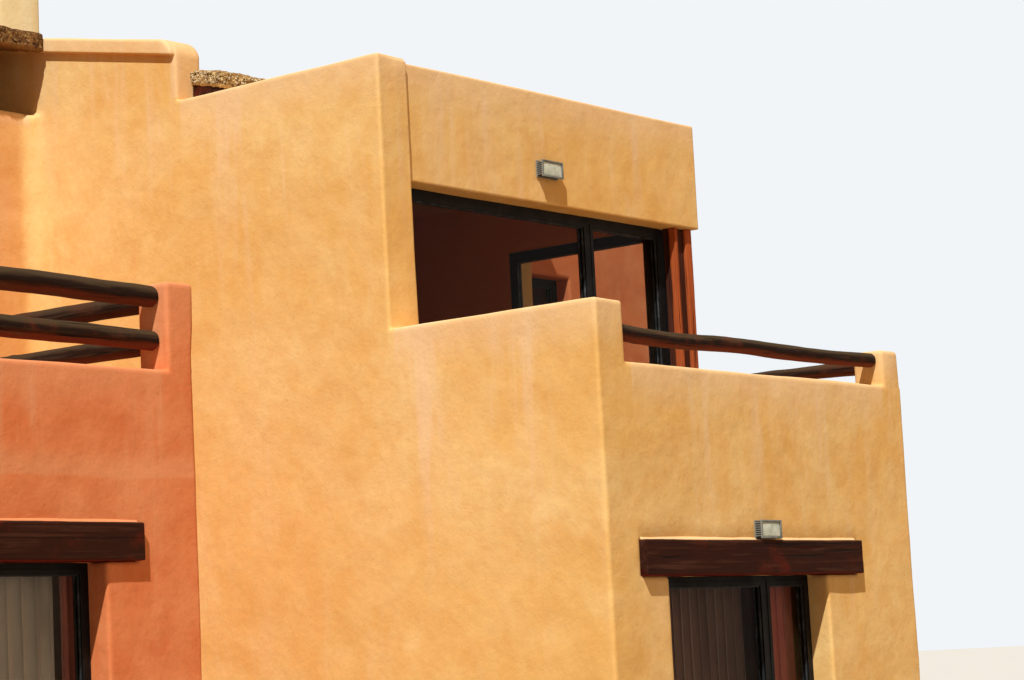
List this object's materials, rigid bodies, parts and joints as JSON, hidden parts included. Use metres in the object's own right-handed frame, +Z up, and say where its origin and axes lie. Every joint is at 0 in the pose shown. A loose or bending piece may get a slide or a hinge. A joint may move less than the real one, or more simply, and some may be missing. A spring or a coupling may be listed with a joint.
{
  "type": "two-storey adobe house",
  "caption": "Two-storey earth-plastered house with roof terraces, log rails, timber lintels, glazed openings and mud shed roofs",
  "frame": {"origin": "centre of the base outline on the ground", "axes": "+Z up, the terrace fronts face -Y, the terracotta wing is on the -X side"},
  "size_m": [14.85, 8.985, 9.3],
  "materials": {
    "ochre_plaster": "hand-trowelled earth plaster, matt",
    "terracotta_plaster": "hand-trowelled earth plaster, matt",
    "cream_plaster": "matt plaster",
    "roof_mud": "rough mud and straw with gravel",
    "floor_screed": "matt screed",
    "dark_timber": "stained, dull",
    "log_wood": "weathered peeled log",
    "dark_frame": "dark satin",
    "window_glass": "clear, dark room behind",
    "lamp_metal": "grey satin",
    "curtain_cloth": "woven, soft folds"
  },
  "bodies": {
    "root": {"left_wall": "ochre_plaster", "right_wall": "ochre_plaster", "gable_copings": "ochre_plaster", "front_wall_left": "ochre_plaster", "front_wall_right": "ochre_plaster", "front_wall_over": "ochre_plaster", "back_wall": "ochre_plaster", "terrace_pier": "ochre_plaster", "upper_fascia": "ochre_plaster", "clerestory_wall": "ochre_plaster", "ground_floor": "floor_screed", "upper_floor": "floor_screed", "flat_roof": "floor_screed", "mud_roof": "roof_mud", "roof_rafters": "dark_timber", "ground_lintel": "dark_timber", "terrace_front_log": "log_wood", "terrace_side_log": "log_wood", "corner_posts": "dark_timber", "upper_window_frame": "dark_frame", "upper_glass": "window_glass", "ground_window_frame": "dark_frame", "ground_glass": "window_glass", "wall_lamps": "lamp_metal", "rear_front_wall": "ochre_plaster", "rear_left_wall": "ochre_plaster", "rear_floors": "floor_screed", "canopy_roof": "roof_mud", "canopy_frame": "dark_timber", "chimney": "cream_plaster", "side_wing_walls": "terracotta_plaster", "rear_window_frames": "dark_frame", "rear_glass": "window_glass", "red_front_wall_left": "terracotta_plaster", "red_front_wall_right": "terracotta_plaster", "red_front_wall_over": "terracotta_plaster", "red_left_wall": "terracotta_plaster", "red_right_wall": "terracotta_plaster", "red_piers": "terracotta_plaster", "red_lintel": "dark_timber", "red_ground_floor": "floor_screed", "red_terrace_floor": "floor_screed", "red_front_rails": "log_wood", "red_side_rails": "log_wood", "red_window_frame": "dark_frame", "red_glass": "window_glass"}
  },
  "joints": []
}
